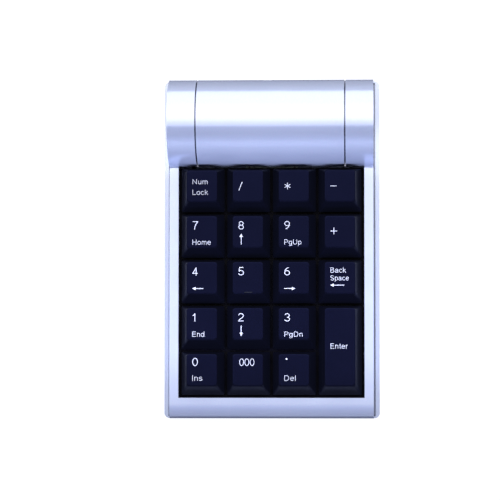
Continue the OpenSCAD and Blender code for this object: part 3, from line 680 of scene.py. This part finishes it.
def word_shapes(text, corner, size, stroke):
    """Outlines of a word whose ink starts at corner, size wide and as high as its capitals."""
    strokes, pen = [], 0.0
    for letter in text:
        advance, parts = GLYPHS[letter]
        for part in parts:
            for points in stroke_points(part):
                strokes.append([p + Vector((pen, 0)) for p in points])
        pen += advance
    x0 = min(p.x for points in strokes for p in points)
    x1 = max(p.x for points in strokes for p in points)
    half = stroke / 2
    scale = (size[0] - stroke) / (x1 - x0)

    def placed(p):
        return Vector((corner[0] + half + (p.x - x0) * scale, corner[1] + p.y * size[1]))

    return [outline([placed(p) for p in points], half) for points in strokes]


def arrow_shapes(tail, tip, stroke=0.28, head_l=1.45, head_w=0.7):
    tail, tip = Vector(tail), Vector(tip)
    ahead = (tip - tail).normalized()
    side = Vector((-ahead.y, ahead.x))
    neck = tip - ahead * head_l
    overlap = 0.2
    shaft = outline([tail, neck + ahead * overlap], stroke / 2)
    return [shaft, [neck - side * head_w, tip, neck + side * head_w]]


def star_shapes(centre, r, arms=6, stroke=0.25):
    centre = Vector(centre)
    shapes = []
    for i in range(arms // 2):
        a = math.pi / 2 + math.pi * i / (arms // 2)
        arm = Vector((math.cos(a), math.sin(a))) * r
        shapes.append(outline([centre - arm, centre + arm], stroke / 2))
    return shapes


def bar_shapes(low, high):
    return [[Vector(low), Vector((high[0], low[1])), Vector(high), Vector((low[0], high[1]))]]


def dot_shapes(centre, r, n=20):
    return [[Vector(centre) + Vector(circle_point(r, i, n)) for i in range(n)]]


SHAPES = {"word": word_shapes, "arrow": arrow_shapes, "star": star_shapes, "bar": bar_shapes,
          "dot": dot_shapes}


def merged(shapes):
    """One flat mesh that covers the outlines, with no overlaps."""
    points, faces = [], []
    for shape in shapes:
        area = sum(a.cross(b) for a, b in zip(shape, shape[1:] + shape[:1]))
        faces.append(list(range(len(points), len(points) + len(shape))))
        points += shape if area > 0 else shape[::-1]
    verts, _, tris, _, _, sources = delaunay_2d_cdt(points, [], faces, 0, 1e-5, True)
    bm = bmesh.new()
    made = [bm.verts.new((v.x, v.y, 0)) for v in verts]
    for tri, source in zip(tris, sources):
        if source:
            bm.faces.new([made[i] for i in tri])
    bmesh.ops.delete(bm, geom=[v for v in bm.verts if not v.link_faces], context="VERTS")
    bmesh.ops.dissolve_limit(bm, angle_limit=math.radians(1), verts=bm.verts, edges=bm.edges)
    return bm


def legend(cap, marks):
    """Printed marks: a film of ink a few hundredths of a millimetre thick that follows the dish."""
    bm = merged([shape for mark in marks for shape in SHAPES[mark[0]](*mark[1:])])
    # Cut into narrow strips, so that the film can bend with the dish
    strip, strips = 0.5, 11
    for k in range(-strips, strips + 1):
        bmesh.ops.bisect_plane(bm, geom=bm.verts[:] + bm.edges[:] + bm.faces[:], dist=1e-5,
                               plane_co=(k * strip, 0, 0), plane_no=(1, 0, 0))
    ink = 0.03
    lower = set(bm.verts)
    bmesh.ops.extrude_face_region(bm, geom=bm.faces[:])
    for v in bm.verts:
        lift = -ink if v in lower else ink
        v.co = Vector((cap.x + v.co.x, cap.y + v.co.y, cap.surface(v.co.x) + lift))
    add_object("legend_" + cap.node[4:], bm, INK, cap.node, 30)


for node, marks in LEGENDS.items():
    legend(caps[node], marks)


def homing_bar(cap):
    """Raised bar near the middle key's front edge, rounded over."""
    bm = bmesh.new()
    x, y, z = cap.x + 0.2, cap.y - 4.6, cap.surface(0)
    half_l, half_t, corner = 1.8, 0.3, 0.28
    rings = []
    for rise, inset in ((-0.3, 0.0), (0.06, 0.0), (0.18, 0.03), (0.28, 0.11), (0.34, 0.24)):
        plan = rounded_rect(inset - half_l, half_l - inset, inset - half_t, half_t - inset,
                            corner - inset, 5, 3)
        rings.append([Vector((x + px, y + py, z + rise)) for px, py in plan])
    skin(bm, rings)
    # Polished by fingertips
    worn = key_plastic("worn_plastic", (0.2, 0.26), 0.45, (0.6, 0.68, 1.0))
    add_object("homing_bar", bm, worn, cap.node, 50)


homing_bar(caps["key_5"])

# ---------------------------------------------------------------- cells and their contacts

# Thickness of the contact plates and the height they start at, in millimetres
CONTACT_T = 0.4
CONTACT_LOW_Z = 9.6


def extent(node):
    """Lowest corner, highest corner and centre of a node's box, in millimetres."""
    low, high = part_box(node)
    return low / MM, high / MM, (low + high) / 2 / MM


def cell(node, sign):
    """AA cell along X, its positive end towards sign: a steel can, and a wrap folded over its two ends."""
    low, high, centre = extent(node)
    # From the middle of the wrapped body to the tip of the positive end, and to the body's ends
    nub, body_end = 25.9, 24.6
    x = (high.x if sign > 0 else low.x) - sign * nub

    def place(a, b, h):
        return Vector((x + sign * h, centre.y + a, centre.z + b))

    sides = 64
    can = bmesh.new()
    profile = [(0.4, -24.35), (4.6, -24.35), (4.9, -body_end), (5.9, -body_end), (6.3, -24.4), (6.9, -24.3),
               (7.0, -24.0), (7.0, 24.0), (6.9, 24.3), (6.3, 24.3), (6.0, 24.0), (3.2, 24.0), (2.9, 24.2),
               (2.75, 24.5), (2.75, 25.6), (2.6, 25.85), (2.3, nub), (0.4, nub)]
    lathe(can, profile, place, sides)
    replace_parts(add_object(node + "_can", can, CAN, "case", 30), node)
    film = bmesh.new()
    profile = [(6.3, -24.42), (6.9, -24.55), (7.15, -24.35), (7.2, -24.0), (7.2, -12), (7.2, 0), (7.2, 12),
               (7.2, 24.0), (7.15, 24.35), (6.9, 24.52), (6.4, 24.45), (6.85, 24.2), (6.95, 23.8),
               (6.95, -23.8), (6.8, -24.2)]
    rings = [[place(*circle_point(r, k, sides), h) for k in range(sides)] for r, h in profile + profile[:1]]
    skin(film, rings, False, False)
    bmesh.ops.remove_doubles(film, verts=film.verts, dist=1e-4)
    wrap = cell_wrap(node + "_wrap", x + sign * body_end, x - sign * body_end)
    add_object(node + "_wrap", film, wrap, "case", 40)


def contact(node, side, spring_y, button_y=None):
    """Sprung contact: a plate against the end of the well at side, a spring towards the cells, and the
    button that the linking contact has for the other cell."""
    low, high, _ = extent(node)
    wall = low.x if side < 0 else high.x
    face = wall - side * CONTACT_T
    bm = bmesh.new()
    plan = rounded_rect(low.y, high.y, CONTACT_LOW_Z, high.z, 1.0, 5, 6)
    middle_y, middle_z = (low.y + high.y) / 2, (CONTACT_LOW_Z + high.z) / 2
    edge, drawn_in = 0.1, 0.9875
    rings = []
    for x, share in ((wall, drawn_in), (wall - side * edge, 1), (face + side * edge, 1), (face, drawn_in)):
        rings.append([Vector((x, middle_y + (y - middle_y) * share, middle_z + (z - middle_z) * share))
                      for y, z in plan])
    skin(bm, rings)
    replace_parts(add_object(node + "_plate", bm, NICKEL, "case", 30), node)
    # Conical spring, its first and last part turns closed up
    cell_z = extent("battery_front")[2].z
    tip = high.x if side < 0 else low.x
    wire, turns, steps = 0.34, 3.4, 28
    base_r, tip_r, closed = 5, 2.6, 0.08
    start, end = face - side * wire, tip + side * wire
    points = []
    for i in range(int(turns * steps) + 1):
        t = i / (turns * steps)
        a = 2 * math.pi * turns * t
        r = base_r + (tip_r - base_r) * t
        x = start + (end - start) * min(max((t - closed) / (1 - 2 * closed), 0), 1)
        points.append(Vector((x, spring_y + r * math.cos(a), cell_z + r * math.sin(a))))
    bm = bmesh.new()
    tube(bm, points, wire, 12)
    add_object(node + "_spring", bm, WIRE, "case", 60)
    if button_y is not None:
        bm = bmesh.new()
        lathe(bm, [(2.4, 0.0), (2.2, 0.25), (1.9, 0.38), (1.2, 0.4), (0.3, 0.4)],
              lambda a, b, h: Vector((face - side * (h - 0.05), button_y + a, cell_z + b)), 40)
        add_object(node + "_button", bm, NICKEL, "case", 40)


def contact_leg(node):
    """Leg of the right-hand sprung contact that reaches down to the board."""
    low, high, centre = extent(node)
    bm = bmesh.new()
    half_w = 1.4
    rings = []
    for z, inset in ((low.z, 0.1), (low.z + 0.25, 0.0), (CONTACT_LOW_Z + 0.3, 0.0)):
        plan = rounded_rect(high.x - CONTACT_T + inset, high.x - inset,
                            centre.y - half_w + inset, centre.y + half_w - inset, 0.1, 3, 3)
        rings.append([Vector((x, y, z)) for x, y in plan])
    skin(bm, rings)
    add_object(node + "_leg", bm, NICKEL, "case", 30)


front_y, rear_y = extent("battery_front")[2].y, extent("battery_rear")[2].y
cell("battery_front", 1)
cell("battery_rear", -1)
contact("link_contact", -1, front_y, rear_y)
contact("negative_contact", 1, rear_y)
contact_leg("negative_contact")

# ---------------------------------------------------------------- stage, light and camera


def look_at(obj, target):
    """Turns obj's -Z to the target, with its +Y as near the world's +Y as it can be."""
    z = (obj.location - Vector(target)).normalized()
    x = Vector((0, 1, 0)).cross(z).normalized()
    y = z.cross(x)
    obj.rotation_euler = Matrix((x, y, z)).transposed().to_euler()


def studio():
    """Pale floor, the sky and four soft lamps."""
    bm = bmesh.new()
    half_width = 3
    bmesh.ops.create_grid(bm, x_segments=1, y_segments=1, size=half_width)
    mesh = bpy.data.meshes.new("floor")
    bm.to_mesh(mesh)
    bm.free()
    floor = bpy.data.objects.new("floor", mesh)
    bpy.context.scene.collection.objects.link(floor)
    m = Nodes("floor_paper")
    # Dark round the object, where the nose of the case mirrors it, and lighter behind
    dark = m.ramp(m.noise(3, 2), [(0.3, (0.10, 0.11, 0.16)), (0.7, (0.12, 0.13, 0.18))])
    m.set(colour=m.mix(m.axis("Y", 75, 190), dark, (0.42, 0.46, 0.60)), rough=0.9, spec=0.1)
    # Lit from behind where the camera sees it, as a light table is
    path = m.add("ShaderNodeLightPath").outputs
    m.set(glow=(0.97, 0.98, 1), glow_strength=path["Is Camera Ray"])
    # Nothing from underneath, so that views and the lamp below reach the object's underside
    clear = m.add("ShaderNodeMath", operation="MAXIMUM")
    m.link(m.add("ShaderNodeNewGeometry").outputs["Backfacing"], clear.inputs[0])
    m.link(path["Is Shadow Ray"], clear.inputs[1])
    blend = m.add("ShaderNodeMixShader")
    m.link(clear.outputs[0], blend.inputs[0])
    m.link(m.bsdf.outputs[0], blend.inputs[1])
    m.link(m.add("ShaderNodeBsdfTransparent").outputs[0], blend.inputs[2])
    m.link(blend.outputs[0], m.tree.nodes["Material Output"].inputs["Surface"])
    mesh.materials.append(m.material)
    sky()
    # Broad, weak lamp behind the barrel for soft shadows, one for the underside, a small fill that lights
    # the barrel's foot, and a strip for the bright line along its top
    softbox("key_light", (0, 0.55, 0.9), (0, 0, 0.01), (1.6, 0.5), 0.7, (1, 1, 1))
    softbox("under_light", (0.1, -0.2, -0.7), (0, 0, 0), (0.8, 0.8), 6, (1, 1, 1))
    softbox("barrel_fill", (0, -0.045, 0.075), (0, 0.036, 0.014), (0.2, 0.03), 0.19, (0.66, 0.72, 1), False)
    softbox("barrel_strip", (0, 0.0475, 0.085), (0, 0.0475, 0), (0.13, 0.019), 0.006, (1, 0.98, 0.92))


# Studio light by its angle from overhead, front negative and rear positive: degrees, brightness, colour
SKY = [(-90, 0.18, (0.70, 0.78, 1.0)), (-72, 0.35, (0.72, 0.79, 1.0)), (-58, 0.50, (0.74, 0.80, 1.0)),
       (-46, 0.28, (0.50, 0.62, 1.0)), (-34, 0.06, (0.20, 0.32, 1.0)), (-17, 0.24, (0.35, 0.46, 1.0)),
       (-8, 0.50, (0.55, 0.63, 0.98)), (-2, 0.60, (0.86, 0.86, 0.86)), (2, 0.70, (0.92, 0.90, 0.86)),
       (4.5, 1.5, (1.0, 0.97, 0.90)), (8, 2.1, (1.0, 0.98, 0.92)), (76, 1.8, (1.0, 0.98, 0.94)),
       (90, 1.9, (0.80, 0.86, 1.0))]
# Sideways lean of a direction, from and to, and the share of the light left there
SIDE_FALL = (0.5, 0.95, 1.0, 0.1)


def sky():
    """World light that depends on the angle from overhead, front to rear, and falls away to the sides."""
    world = bpy.data.worlds.new("studio")
    bpy.context.scene.world = world
    world.use_nodes = True
    tree = world.node_tree

    def node(kind, sources=(), **values):
        made = tree.nodes.new(kind)
        for key, value in values.items():
            setattr(made, key, value)
        for index, source in sources:
            if isinstance(source, bpy.types.NodeSocket):
                tree.links.new(source, made.inputs[index])
            else:
                made.inputs[index].default_value = source
        return made

    towards = node("ShaderNodeTexCoord").outputs["Generated"]
    split = node("ShaderNodeSeparateXYZ", [(0, towards)]).outputs
    angle = node("ShaderNodeMath", [(0, split["Y"]), (1, split["Z"])], operation="ARCTAN2").outputs[0]
    quarter = math.radians(90)
    share = node("ShaderNodeMapRange", [("Value", angle), ("From Min", -quarter), ("From Max", quarter)])
    ramp = node("ShaderNodeValToRGB", [("Fac", share.outputs["Result"])])
    elements = ramp.color_ramp.elements
    while len(elements) < len(SKY):
        elements.new(0.5)
    brightest = max(level for _, level, _ in SKY)
    for element, (degrees, level, colour) in zip(elements, SKY):
        element.position = (degrees + 90) / 180
        element.color = (*(c * level / brightest for c in colour), 1)
    aside = node("ShaderNodeMath", [(0, split["X"])], operation="ABSOLUTE").outputs[0]
    names = ("From Min", "From Max", "To Min", "To Max")
    fall = node("ShaderNodeMapRange", [("Value", aside)] + list(zip(names, SIDE_FALL))).outputs["Result"]
    lit = node("ShaderNodeVectorMath", [(0, ramp.outputs["Color"]), ("Scale", fall)], operation="SCALE")
    seen = node("ShaderNodeLightPath").outputs["Is Camera Ray"]
    grey = 0.85 / brightest
    backdrop = (grey, grey, grey, 1)
    colour = node("ShaderNodeMix", [(0, seen), (6, lit.outputs[0]), (7, backdrop)], data_type="RGBA")
    background = tree.nodes["Background"]
    tree.links.new(colour.outputs[2], background.inputs["Color"])
    background.inputs["Strength"].default_value = brightest


def softbox(name, place, target, size, power, colour, in_reflections=True):
    """Rectangular lamp that faces a target, in metres and watts."""
    data = bpy.data.lights.new(name, "AREA")
    data.shape = "RECTANGLE"
    data.size, data.size_y = size
    data.energy = power
    data.color = colour
    lamp = bpy.data.objects.new(name, data)
    lamp.location = place
    look_at(lamp, target)
    lamp.visible_camera = False
    lamp.visible_glossy = in_reflections
    bpy.context.scene.collection.objects.link(lamp)


def camera():
    """Camera at the photo's angle: almost overhead, from slightly to the right and in front."""
    data = bpy.data.cameras.new("camera")
    cam = bpy.data.objects.new("camera", data)
    bpy.context.scene.collection.objects.link(cam)
    bpy.context.scene.camera = cam
    distance = 0.95
    deck_z = 0.0135
    right, front = math.radians(2.3), math.radians(2.5)
    low, high = cad_bounds
    target = Vector(((low[0] + high[0]) / 2, (low[1] + high[1]) / 2, deck_z))
    aim = Vector((math.tan(right), -math.tan(front), 1)).normalized()
    cam.location = target + aim * distance
    look_at(cam, target)
    # Width of the view at the deck, in metres, and its shift, as a share of that width
    frame_width = 0.208
    data.sensor_width = 36
    data.lens = data.sensor_width * distance / frame_width
    data.shift_x, data.shift_y = -0.0426, -0.0026
    data.clip_start = 0.01


studio()
camera()
bpy.context.scene.view_settings.view_transform = "Standard"
